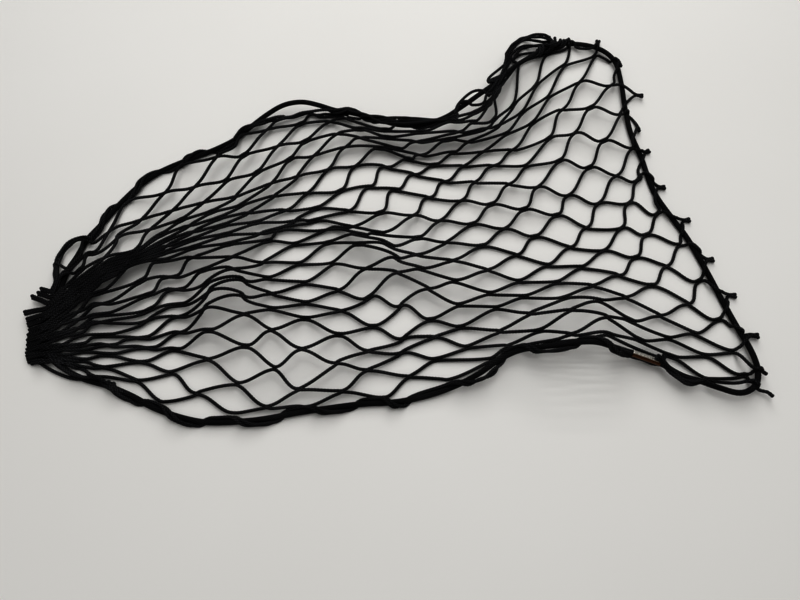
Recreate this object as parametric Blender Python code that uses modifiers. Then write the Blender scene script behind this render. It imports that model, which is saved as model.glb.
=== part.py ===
"""Cargo net lying on a table: a knotless twine net panel threaded on a closed
loop of shock cord, whose two ends meet in a crimped metal ferrule.

Frame: metres, +Z up, the table top at Z = 0, +X to the right and +Y to the
back of the net as it lies, origin on the table near the middle of the net.
"""

import math

import bmesh
import bpy
from mathutils import Vector

# ------------------------------------------------------------ driving sizes
MM = 0.001
TWINE = 2.8 * MM  # thickness of the braided twine
CORD_D = 5.2 * MM  # shock cord with its braided sheath
CORD_SIDES = 12
CORD_REST = CORD_D / 2 * math.cos(math.pi / CORD_SIDES)  # centre when it lies
CORD_POINTS = 88  # points along the loop of cord
GAP = 0.4 * MM  # between two pieces that touch
SLEEVE_WALL = 0.6 * MM
SLEEVE_LEN = 24 * MM
LEAST_OPENING = 5.5 * MM  # a mesh drawn closer than this is left closed
TAIL_RIGHT = 8 * MM  # cut mesh ends past the cord
TAIL_LEFT = 13 * MM
TAIL_WIDTH = 3.4 * MM

# middle of the outline on the tables' grid, in mm: the origin goes there
MIDDLE = (-6, 35)

# knots are counted along the net (u, from the gathered left end) and across
# it (v, from the back edge); a knot sits where u + v is even
U_FIRST, U_LAST = -3, 20
V_FIRST, V_LAST = 0, 30

# Sections across the net: for a column of knots, the plan position in mm of
# seven stations, from the back edge to the front edge.
STATIONS = (0, 5, 10, 15, 20, 25, 30)
SECTIONS = (
    # u    back edge    v 5          v 10         v 15         v 20         v 25          front edge
    (-3, (-303, -57), (-306, -70), (-305, -82), (-305, -95), (-301, -106), (-299, -116), (-291, -130)),
    (0, (-288, -8), (-258, -31), (-250, -42), (-249, -65), (-237, -87), (-233, -113), (-234, -150)),
    (3, (-233, 63), (-204, 9), (-187, -10), (-180, -31), (-165, -66), (-162, -103), (-166, -172)),
    (6, (-164, 109), (-130, 57), (-110, 25), (-103, -4), (-86, -52), (-81, -103), (-80, -170)),
    (9, (-94, 144), (-64, 113), (-36, 66), (-16, -3), (-4, -44), (2, -104), (12, -152)),
    (12, (-15, 128), (38, 110), (33, 80), (63, 22), (78, -41), (84, -92), (92, -130)),
    (15, (66, 141), (92, 128), (110, 107), (134, 50), (161, -26), (175, -72), (168, -120)),
    (18, (112, 207), (144, 224), (189, 183), (207, 85), (233, -1), (253, -88), (252, -144)),
    (20, (164, 243), (177, 244), (232, 206), (238, 105), (261, 12), (293, -78), (298, -149)),
)

# Soft waves in which the net stands off the table.
WAVES = (
    # name            x     y    long wide turn height  (mm, degrees)
    ("left ridge", -155, -62, 44, 26, 98, 26),
    ("middle ridge", -10, -17, 40, 30, 10, 24),
    ("hollow's rim", 48, -55, 32, 24, 0, 15),
    ("front arch", 156, -98, 54, 28, -4, 24),
    ("back rope", 15, 118, 88, 22, 4, 17),
    ("back left", -175, 55, 66, 46, 38, 15),
    ("back loops", 92, 160, 42, 36, 30, 20),
    ("back right", 198, 140, 40, 64, -10, 10),
    ("left gather", -270, -52, 44, 44, 20, 9),
    ("folded band", -195, -20, 60, 20, 20, 11),
    ("front left", -85, -125, 48, 34, 0, 13),
    ("middle", 105, 40, 40, 30, 0, 7),
)

# Pleats where the meshes are drawn together on the cord at the left end.
PLEAT_ROWS = 4  # knot rows to one pleat
PLEAT_HEIGHT = 5 * MM
PLEAT_END_U = 1.5  # the pleats run out here

# The cord's route, from one end of the ferrule round to the other, in mm.
# The height is that of its centre line.
ROUTE = (
    # place                 x     y    height
    ("ferrule, right end", 216, -131, 8),
    ("front right", 250, -147, 7),
    ("front right corner", 282, -156, 8),
    ("corner", 295, -149, 8),
    ("corner", 298, -136, 7),
    ("right edge", 293, -97, 4),
    ("right edge", 277, -41, 2.4),
    ("right edge", 252, 33, 2.4),
    ("right edge", 238, 87, 3),
    ("right edge", 232, 150, 5),
    ("right edge", 229, 211, 6),
    ("back right corner", 214, 233, 5),
    ("gathered corner", 180, 243, 5),
    ("gathered corner", 158, 230, 10),
    ("back edge", 119, 194, 18),
    ("back edge", 81, 155, 20),
    ("back edge", 46, 128, 16),
    ("back edge", 0, 122, 12),
    ("back edge", -49, 141, 8),
    ("lifted bow", -100, 151, 14),
    ("back edge", -135, 140, 8),
    ("back edge", -165, 112, 2.4),
    ("back left", -212, 84, 2.4),
    ("back left", -253, 53, 2.4),
    ("back left", -280, 10, 2.4),
    ("left gather", -297, -30, 2.4),
    ("left gather", -302, -62, 2.4),
    ("left gather", -305, -86, 2.4),
    ("left gather", -303, -106, 2.4),
    ("left gather", -290, -126, 2.4),
    ("front left", -262, -142, 2.4),
    ("front left", -220, -156, 2.4),
    ("front left", -181, -175, 2.4),
    ("front edge", -135, -179, 2.4),
    ("front edge", -84, -171, 2.4),
    ("front edge", -31, -163, 2.4),
    ("front edge", 21, -156, 3),
    ("front edge", 66, -139, 9),
    ("front edge", 99, -122, 18),
    ("arch", 150, -118, 26),
    ("ferrule, left end", 192, -124, 14),
)

LOOKS = {
    # name            colour               roughness metallic
    "black twine": ((0.012, 0.012, 0.014), 0.72, 0.0),
    "black sheath": ((0.010, 0.010, 0.011), 0.6, 0.0),
    "plated metal": ((0.55, 0.47, 0.36), 0.35, 1.0),
}


# ------------------------------------------------------------ curves
def through(knots, values, t):
    """Smooth curve through values at the given knots, read at t."""
    last = len(knots) - 1
    i = 0
    while i < last - 1 and t > knots[i + 1]:
        i += 1

    def slope(j):
        a, b = max(j - 1, 0), min(j + 1, last)
        return (values[b] - values[a]) / (knots[b] - knots[a])

    h = knots[i + 1] - knots[i]
    s = (t - knots[i]) / h
    return (
        (2 * s**3 - 3 * s * s + 1) * values[i]
        + (s**3 - 2 * s * s + s) * h * slope(i)
        + (3 * s * s - 2 * s**3) * values[i + 1]
        + (s**3 - s * s) * h * slope(i + 1)
    )


def route_curve():
    """Even points along the cord, from the ferrule's right end to its left end."""
    rough = [Vector(row[1:4]) * MM for row in ROUTE]
    knots = [0.0]
    for a, b in zip(rough, rough[1:]):
        knots.append(knots[-1] + (b - a).length)
    fine = [through(knots, rough, knots[-1] * k / 1600) for k in range(1601)]
    run = [0.0]
    for a, b in zip(fine, fine[1:]):
        run.append(run[-1] + (b - a).length)
    points, j = [], 0
    for k in range(CORD_POINTS):
        want = run[-1] * k / (CORD_POINTS - 1)
        while j < len(run) - 2 and run[j + 1] < want:
            j += 1
        f = (want - run[j]) / (run[j + 1] - run[j])
        p = fine[j].lerp(fine[j + 1], f)
        p.z = max(p.z, CORD_REST)
        points.append(p)
    return points


CORD = route_curve()


def nearest_on_cord(x, y):
    """Nearest point of the cord's centre line in plan, and its distance."""
    best = None
    p = Vector((x, y))
    for a, b in zip(CORD, CORD[1:]):
        d = (b - a).to_2d()
        t = min(1.0, max(0.0, (p - a.to_2d()).dot(d) / d.length_squared))
        q = a.lerp(b, t)
        away = (q.to_2d() - p).length
        if best is None or away < best[1]:
            best = (q, away, d.normalized())
    return best


# ------------------------------------------------------------ the net's form
def lie(u, v):
    """Plan position of the net at knot column u and knot row v."""
    columns = [row[0] for row in SECTIONS]
    across = [
        through(STATIONS, [Vector(p) * MM for p in row[1:]], v) for row in SECTIONS
    ]
    return through(columns, across, u)


def height(x, y):
    total = 0.0
    for _, cx, cy, long, wide, turn, high in WAVES:
        c, s = math.cos(math.radians(turn)), math.sin(math.radians(turn))
        dx, dy = x / MM - cx, y / MM - cy
        p, q = (dx * c + dy * s) / long, (dy * c - dx * s) / wide
        total += high * math.exp(-(p * p + q * q))
    return TWINE / 2 + GAP + total * MM


def over_cord(x, y):
    """Least height of the net's middle where it passes over the cord."""
    q, away, _ = nearest_on_cord(x, y)
    top = q.z + CORD_D / 2 + GAP + 0.62 * TWINE
    return top - max(0.0, away - 5 * MM) * 0.75


def lift_bars(knots):
    """Raises the knots of each bar that would pass through the cord."""
    for _ in range(3):
        for (u, v), p in knots.items():
            for step in (-1, 1):
                q = knots.get((u + 1, v + step))
                if q is None:
                    continue
                short = 0.0
                for k in range(1, 12):
                    r = p.lerp(q, k / 12)
                    _, away, _ = nearest_on_cord(r.x, r.y)
                    if away < CORD_D / 2 + TWINE:
                        short = max(short, over_cord(r.x, r.y) - r.z)
                p.z += short
                q.z += short


def knot(u, v):
    x, y = lie(u, v)
    edge = v in (V_FIRST, V_LAST) or u == U_LAST
    if edge:
        q, away, _ = nearest_on_cord(x, y)
        if away < 14 * MM:
            x, y = q.x, q.y
    z = height(x, y)
    if u < PLEAT_END_U:
        fade = min(1.0, (PLEAT_END_U - u) / 2.5)
        step = v % PLEAT_ROWS
        z += fade * PLEAT_HEIGHT * min(step, PLEAT_ROWS - step) / (PLEAT_ROWS / 2)
    return Vector((x, y, max(z, over_cord(x, y))))


def net_panel():
    """One sheet of four-sided meshes; the open ones are cut through to leave
    their twine, and the cut ends stand out past the cord."""
    bm = bmesh.new()
    verts = {}
    knots = {
        (u, v): knot(u, v)
        for u in range(U_FIRST, U_LAST + 1)
        for v in range(V_FIRST, V_LAST + 1)
        if (u + v) % 2 == 0
    }
    lift_bars(knots)

    def corner(u, v):
        if (u, v) not in verts:
            verts[u, v] = bm.verts.new(knots[u, v])
        return verts[u, v]

    def split(u, v, outward, length):
        """A cut end: its two root corners along the cord, and the tail."""
        p = knots[u, v]
        _, _, along = nearest_on_cord(p.x, p.y)
        along = Vector((along.x, along.y, 0))
        if along.y < 0:
            along = -along
        side = Vector((along.y, -along.x, 0)) * outward
        a, b = p + along * TAIL_WIDTH / 2, p - along * TAIL_WIDTH / 2
        mid = [q + side * 0.45 * length for q in (a, b)]
        tip = [q + side * length for q in (a, b)]
        for q in mid:
            q.z = max(p.z - 1.2 * MM, over_cord(q.x, q.y))
        for q in tip:
            q.z = max(TWINE / 2 + GAP, p.z - 4.5 * MM, over_cord(q.x, q.y))
        a, b = bm.verts.new(a), bm.verts.new(b)
        m, n = (bm.verts.new(q) for q in mid)
        s, t = (bm.verts.new(q) for q in tip)
        bm.faces.new((a, b, n, m) if outward > 0 else (b, a, m, n))
        bm.faces.new((m, n, t, s) if outward > 0 else (n, m, s, t))
        return a, b

    open_faces = []
    for uc in range(U_FIRST, U_LAST + 1):
        for vc in range(V_FIRST + 1, V_LAST):
            if (uc + vc) % 2 == 0 or uc in (U_FIRST, U_LAST):
                continue
            left, right = (uc - 1, vc), (uc + 1, vc)
            back, front = (uc, vc - 1), (uc, vc + 1)
            ring = [corner(*front)]
            if right[0] == U_LAST:
                a, b = split(*right, 1, TAIL_RIGHT)
                ring += [b, a]
            else:
                ring.append(corner(*right))
            ring.append(corner(*back))
            if left[0] == U_FIRST:
                a, b = split(*left, -1, TAIL_LEFT)
                ring += [a, b]
            else:
                ring.append(corner(*left))
            face = bm.faces.new(ring)
            p = [knots[k] for k in (left, front, right, back)]
            area = (p[2] - p[0]).cross(p[3] - p[1]).length / 2
            longest = max((p[i] - p[i - 1]).length for i in range(4))
            if area / longest - TWINE > LEAST_OPENING:
                open_faces.append(face)
    bmesh.ops.recalc_face_normals(bm, faces=bm.faces)
    up = sum(f.normal.z for f in bm.faces)
    if up < 0:
        bmesh.ops.reverse_faces(bm, faces=bm.faces)
    bmesh.ops.inset_individual(
        bm, faces=open_faces, thickness=TWINE / 2, use_even_offset=True
    )
    bmesh.ops.delete(bm, geom=open_faces, context="FACES_ONLY")
    mesh = bpy.data.meshes.new("net")
    bm.to_mesh(mesh)
    bm.free()
    obj = bpy.data.objects.new("net", mesh)
    solid = obj.modifiers.new("twine thickness", "SOLIDIFY")
    solid.thickness = TWINE
    solid.offset = 0.0
    solid.use_even_offset = False
    solid.use_quality_normals = True
    solid.show_render = solid.show_viewport
    return obj, len(open_faces)


# ------------------------------------------------------------ cord and ferrule
def cord_profile():
    """Twelve-sided section with a flat side down, so that the cord rests."""
    data = bpy.data.curves.new("cord section", "CURVE")
    data.dimensions = "2D"
    spline = data.splines.new("POLY")
    spline.points.add(CORD_SIDES - 1)
    for k, point in enumerate(spline.points):
        turn = -2 * math.pi * (k + 0.5) / CORD_SIDES
        point.co = (
            CORD_D / 2 * math.cos(turn),
            CORD_D / 2 * math.sin(turn),
            0,
            1,
        )
    spline.use_cyclic_u = True
    obj = bpy.data.objects.new("cord section", data)
    obj.hide_render = True
    obj.display_type = "WIRE"
    return obj


def tube(name, points, profile):
    data = bpy.data.curves.new(name, "CURVE")
    data.dimensions = "3D"
    data.twist_mode = "Z_UP"
    data.bevel_mode = "OBJECT"
    data.bevel_object = profile
    data.use_fill_caps = True
    spline = data.splines.new("POLY")
    spline.points.add(len(points) - 1)
    for point, p in zip(spline.points, points):
        point.co = (*p, 1)
    return bpy.data.objects.new(name, data)


def ferrule():
    """Crimped sleeve over the butted cord ends, turned about the cord."""
    bore = CORD_D / 2 + GAP
    outer = bore + SLEEVE_WALL
    half = SLEEVE_LEN / 2
    crimp = 0.25 * MM
    outline = (
        # along the sleeve, radius
        (-half, bore),
        (-half, outer - 0.2 * MM),
        (-half + 0.6 * MM, outer),
        (-half + 4 * MM, outer),
        (-half + 5 * MM, outer - crimp),
        (-half + 8 * MM, outer - crimp),
        (-half + 9 * MM, outer),
        (half - 9 * MM, outer),
        (half - 8 * MM, outer - crimp),
        (half - 5 * MM, outer - crimp),
        (half - 4 * MM, outer),
        (half - 0.6 * MM, outer),
        (half, outer - 0.2 * MM),
        (half, bore),
    )
    bm = bmesh.new()
    row = [bm.verts.new((r, 0, along)) for along, r in reversed(outline)]
    for a, b in zip(row, row[1:] + row[:1]):
        bm.edges.new((a, b))
    mesh = bpy.data.meshes.new("ferrule")
    bm.to_mesh(mesh)
    bm.free()
    obj = bpy.data.objects.new("ferrule", mesh)
    turned = obj.modifiers.new("turned about the cord", "SCREW")
    turned.axis = "Z"
    turned.steps = turned.render_steps = 16
    turned.use_merge_vertices = True
    turned.merge_threshold = 0.00005
    turned.show_render = turned.show_viewport
    return obj


def look(name):
    colour, roughness, metallic = LOOKS[name]
    mat = bpy.data.materials.new(name)
    mat.use_nodes = True
    shader = mat.node_tree.nodes["Principled BSDF"]
    shader.inputs["Base Color"].default_value = (*colour, 1)
    shader.inputs["Roughness"].default_value = roughness
    shader.inputs["Metallic"].default_value = metallic
    mat.diffuse_color = (*colour, 1)
    return mat


def main():
    for obj in list(bpy.data.objects):
        bpy.data.objects.remove(obj, do_unlink=True)
    scene = bpy.context.scene
    parts = bpy.data.collections.new("cargo_net")
    guides = bpy.data.collections.new("guides")
    scene.collection.children.link(parts)
    scene.collection.children.link(guides)
    origin = bpy.data.objects.new("cargo_net_origin", None)
    origin.location = (-MIDDLE[0] * MM, -MIDDLE[1] * MM, 0)
    parts.objects.link(origin)

    net, count = net_panel()
    net.data.materials.append(look("black twine"))
    parts.objects.link(net)

    # the two ends of the cord run into the sleeve and butt in its middle
    first, last = CORD[0], CORD[-1]
    middle = (first + last) / 2
    along = (first - last).normalized()
    points = [middle + along * GAP / 2, *CORD[:], middle - along * GAP / 2]
    profile = cord_profile()
    guides.objects.link(profile)
    cord = tube("border_cord", points, profile)
    cord.data.materials.append(look("black sheath"))
    parts.objects.link(cord)

    sleeve = ferrule()
    sleeve.location = middle
    sleeve.rotation_euler = along.to_track_quat("Z", "Y").to_euler()
    sleeve.data.materials.append(look("plated metal"))
    for poly in sleeve.data.polygons:
        poly.use_smooth = True
    parts.objects.link(sleeve)
    for obj in (net, cord, profile, sleeve):
        obj.parent = origin
    print("open meshes", count)


main()
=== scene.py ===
"""Cargo net lying on a table: braided twine net threaded on a closed loop of
shock cord, whose ends meet in a crimped ferrule. Metres, +Z up.
"""

import math

import bpy
import numpy as np
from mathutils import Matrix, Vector


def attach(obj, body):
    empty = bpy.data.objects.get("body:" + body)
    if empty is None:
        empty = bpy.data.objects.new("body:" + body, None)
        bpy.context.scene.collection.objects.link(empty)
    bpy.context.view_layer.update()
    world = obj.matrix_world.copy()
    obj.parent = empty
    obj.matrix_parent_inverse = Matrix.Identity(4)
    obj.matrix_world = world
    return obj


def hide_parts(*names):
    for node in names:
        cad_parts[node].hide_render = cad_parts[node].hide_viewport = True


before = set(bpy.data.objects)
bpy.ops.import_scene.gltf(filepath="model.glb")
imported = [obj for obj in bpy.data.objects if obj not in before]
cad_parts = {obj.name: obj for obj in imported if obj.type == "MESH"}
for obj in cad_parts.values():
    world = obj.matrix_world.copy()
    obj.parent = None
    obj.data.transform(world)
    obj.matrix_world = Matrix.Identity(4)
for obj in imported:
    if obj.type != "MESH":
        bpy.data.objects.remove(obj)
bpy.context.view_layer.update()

MM = 0.001
TWINE = 2.8 * MM  # braided twine
SHEATH = 4.75 * MM  # shock cord over its braided sheath
TWINE_RING = 0.66 * MM  # spacing of the twine's rings
SHEATH_RING = 0.72 * MM
PLAIT = 2.64 * MM  # one repeat of the twine's plait
SHEATH_PLAIT = 2.88 * MM

# ------------------------------------------------------------ camera
FRAME_W, FRAME_H = 800, 600
ELEVATION = math.radians(64)
FIELD = math.radians(65)
EYE = np.array((0.006, -0.34635, 0.5))
FOCAL = FRAME_W / 2 / math.tan(FIELD / 2)
SIN, COS = math.sin(ELEVATION), math.cos(ELEVATION)


def at(px, py, z):
    """The point at height z that the camera sees at px, py of its frame."""
    x, y = (px - FRAME_W / 2) / FOCAL, (FRAME_H / 2 - py) / FOCAL
    ray = np.array((x, COS + y * SIN, y * COS - SIN))
    return EYE + ray * (z - EYE[2]) / ray[2]


# ------------------------------------------------------------ tables
# Where each knot of the net shows in the camera's frame. Knots are counted
# along the net (u, from the gathered end, -3, to the right edge, 20) and
# across it (v, the row, from the back edge, 0, to the front edge, 30); a knot
# is where u + v is even.
KNOTS = (
    # knot row, then x and y of its knots from the gathered end on
    (0, (57.0, 272.0), (90.0, 241.0), (128.0, 200.5), (181.0, 165.0), (236.0, 141.0), (284.0, 118.5),
        (329.0, 113.0), (376.0, 120.0), (456.0, 112.0), (488.0, 94.0), (505.0, 66.0), (547.0, 37.0)),
    (1, (52.0, 292.0), (75.3, 262.8), (108.7, 232.1), (164.6, 192.9), (216.4, 157.0), (266.8, 129.9),
        (315.1, 114.9), (353.0, 117.0), (455.3, 116.6), (485.1, 102.6), (495.3, 82.5), (520.0, 40.5)),
    (2, (60.9, 275.8), (90.9, 253.5), (141.2, 219.7), (194.5, 187.0), (243.7, 155.4), (300.6, 124.0),
        (345.9, 118.5), (405.5, 119.0), (475.6, 112.1), (496.9, 93.7), (509.7, 57.5), (550.0, 41.0)),
    (3, (51.0, 297.0), (80.0, 270.5), (116.7, 239.0), (172.1, 210.7), (226.5, 180.4), (277.9, 146.1),
        (330.2, 121.7), (384.7, 130.0), (455.0, 121.0), (487.1, 106.7), (502.7, 79.1), (524.0, 47.0)),
    (4, (66.0, 287.0), (104.0, 258.0), (150.2, 229.4), (203.7, 202.5), (257.3, 172.4), (305.1, 141.5),
        (360.0, 129.0), (422.0, 132.0), (474.0, 122.0), (495.1, 93.5), (514.4, 57.8), (556.0, 43.0)),
    (5, (49.0, 303.0), (82.3, 277.2), (134.0, 250.5), (180.9, 220.1), (235.9, 196.5), (289.5, 159.5),
        (337.0, 134.1), (387.0, 137.5), (458.8, 131.9), (494.1, 119.5), (518.1, 64.9), (541.0, 52.0)),
    (6, (65.1, 293.8), (105.0, 264.0), (161.3, 234.7), (211.4, 211.9), (271.3, 183.3), (313.9, 155.8),
        (360.0, 137.8), (416.0, 141.7), (487.2, 128.2), (513.7, 104.5), (547.3, 54.0), (571.0, 44.0)),
    (7, (47.0, 308.5), (81.8, 284.1), (133.0, 255.5), (189.4, 225.7), (241.1, 205.3), (297.6, 176.3),
        (345.1, 147.2), (398.0, 149.0), (448.0, 139.6), (500.1, 124.5), (535.9, 85.6), (568.8, 46.5)),
    (8, (64.0, 298.1), (105.0, 269.5), (166.8, 239.7), (218.1, 218.5), (274.2, 196.1), (328.1, 169.4),
        (380.0, 148.0), (419.5, 155.0), (468.0, 142.0), (522.2, 112.5), (564.4, 65.5), (597.0, 47.0)),
    (9, (46.0, 314.0), (81.1, 288.3), (131.0, 260.5), (193.2, 231.9), (248.5, 213.0), (307.5, 193.1),
        (355.4, 166.1), (409.3, 159.3), (453.8, 152.7), (506.6, 133.6), (548.4, 97.2), (594.5, 56.3)),
    (10, (63.0, 305.0), (104.0, 275.0), (166.8, 246.0), (222.4, 225.7), (286.0, 210.3), (340.4, 191.1),
        (386.0, 167.0), (434.1, 165.1), (483.5, 151.6), (532.8, 122.9), (579.6, 82.3), (617.0, 66.0)),
    (11, (45.0, 320.0), (79.5, 295.7), (128.0, 265.5), (193.8, 239.1), (255.9, 222.6), (316.4, 208.3),
        (369.5, 187.0), (414.5, 174.5), (463.7, 166.1), (512.4, 150.0), (562.0, 110.0), (611.0, 85.5)),
    (12, (61.8, 309.9), (101.0, 282.0), (163.3, 253.1), (224.6, 234.8), (295.3, 220.5), (349.0, 210.8),
        (395.5, 189.8), (445.0, 181.5), (493.9, 165.6), (549.1, 138.3), (590.5, 107.7), (628.0, 98.0)),
    (13, (45.0, 325.5), (77.7, 302.1), (122.0, 271.0), (193.3, 247.5), (259.8, 233.8), (314.6, 220.6),
        (380.4, 212.8), (429.0, 197.5), (474.7, 182.4), (525.8, 166.1), (574.1, 133.5), (620.0, 114.5)),
    (14, (60.5, 318.3), (98.0, 293.0), (159.5, 260.8), (228.5, 244.0), (275.9, 231.4), (353.0, 226.6),
        (413.5, 215.3), (461.0, 200.8), (508.9, 184.3), (559.5, 160.8), (603.8, 140.8), (635.0, 128.0)),
    (15, (44.0, 331.0), (77.6, 312.0), (140.0, 281.5), (193.0, 257.5), (267.5, 240.8), (326.2, 229.9),
        (377.2, 232.8), (439.8, 220.7), (491.2, 204.4), (537.5, 187.1), (589.0, 167.6), (632.0, 148.5)),
    (16, (61.4, 324.0), (102.0, 303.8), (170.0, 277.0), (232.2, 256.9), (294.6, 244.2), (359.5, 234.3),
        (417.8, 237.9), (472.3, 224.2), (524.2, 209.2), (568.2, 195.5), (616.0, 176.0), (643.0, 154.0)),
    (17, (44.0, 336.0), (78.8, 319.4), (147.5, 295.0), (203.6, 269.9), (263.4, 262.4), (328.0, 242.9),
        (388.6, 244.5), (446.3, 242.5), (504.0, 228.8), (556.6, 215.3), (598.7, 203.4), (637.0, 180.5)),
    (18, (61.4, 332.0), (102.0, 314.8), (176.0, 289.5), (233.3, 268.9), (299.0, 263.7), (358.9, 243.9),
        (416.3, 254.8), (481.7, 246.0), (534.7, 236.7), (586.3, 227.8), (628.5, 203.3), (658.0, 182.0)),
    (19, (44.0, 341.0), (78.2, 328.2), (150.0, 309.5), (206.2, 283.5), (267.6, 278.1), (332.6, 263.5),
        (396.7, 257.7), (453.0, 260.5), (516.9, 255.1), (570.5, 247.3), (621.1, 228.3), (657.5, 213.5)),
    (20, (61.1, 336.6), (100.0, 322.4), (177.0, 305.0), (244.1, 280.6), (304.9, 283.0), (365.8, 268.6),
        (421.2, 268.6), (487.7, 270.0), (547.6, 265.3), (603.3, 250.8), (646.5, 235.0), (678.0, 210.0)),
    (21, (45.0, 346.0), (78.9, 335.2), (147.0, 320.5), (208.0, 292.7), (271.5, 293.6), (338.6, 290.4),
        (397.6, 272.6), (454.5, 281.0), (519.0, 281.3), (581.6, 267.3), (635.5, 257.6), (679.5, 245.0)),
    (22, (62.4, 344.9), (103.0, 335.6), (178.0, 316.8), (243.3, 296.2), (305.9, 302.9), (369.0, 297.4),
        (428.6, 288.7), (490.1, 293.4), (556.2, 282.6), (619.1, 275.4), (666.5, 266.5), (703.0, 246.0)),
    (23, (45.0, 350.0), (81.3, 344.9), (137.0, 338.0), (203.6, 309.1), (271.8, 308.7), (341.0, 310.9),
        (400.7, 305.8), (459.3, 305.0), (523.6, 296.7), (593.0, 285.8), (651.7, 285.5), (699.0, 281.0)),
    (24, (64.2, 349.4), (108.0, 345.3), (180.0, 332.5), (243.9, 314.2), (305.0, 318.5), (373.1, 326.6),
        (430.6, 319.8), (496.2, 308.0), (564.7, 297.8), (625.9, 297.5), (688.5, 304.0), (725.0, 284.0)),
    (25, (46.0, 354.0), (83.2, 351.0), (146.0, 348.0), (209.0, 330.5), (271.3, 330.1), (338.8, 334.7),
        (403.5, 338.4), (460.4, 327.2), (530.3, 313.5), (599.9, 300.6), (660.4, 315.8), (718.0, 320.0)),
    (26, (65.0, 356.0), (108.0, 354.6), (176.0, 349.7), (245.3, 346.2), (301.9, 349.0), (368.3, 351.1),
        (435.0, 337.0), (500.0, 331.3), (570.7, 310.1), (629.7, 320.1), (694.5, 333.6), (746.0, 326.0)),
    (27, (47.0, 357.5), (82.1, 360.2), (139.0, 362.0), (207.7, 359.4), (274.6, 368.2), (336.5, 363.3),
        (401.1, 353.1), (467.7, 347.1), (538.7, 330.8), (607.7, 317.1), (668.5, 338.4), (732.0, 351.5)),
    (28, (64.5, 361.1), (103.0, 367.3), (171.0, 372.8), (237.2, 383.7), (299.3, 389.2), (367.3, 370.2),
        (436.3, 359.5), (507.6, 346.3), (571.5, 334.1), (640.0, 340.2), (705.6, 355.7), (759.0, 362.0)),
    (29, (49.0, 361.0), (79.9, 367.3), (136.0, 380.5), (196.6, 393.8), (266.5, 407.0), (342.2, 391.4),
        (409.4, 376.7), (491.9, 359.1), (551.0, 341.8), (609.9, 334.7), (670.0, 355.9), (742.0, 375.5)),
    (30, (63.0, 365.5), (98.0, 377.8), (161.0, 402.3), (232.0, 414.0), (305.0, 407.6), (383.0, 398.6),
        (447.0, 380.3), (528.0, 349.0), (583.0, 341.0), (661.0, 359.0), (707.0, 379.0), (757.0, 386.0)),
)

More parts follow.
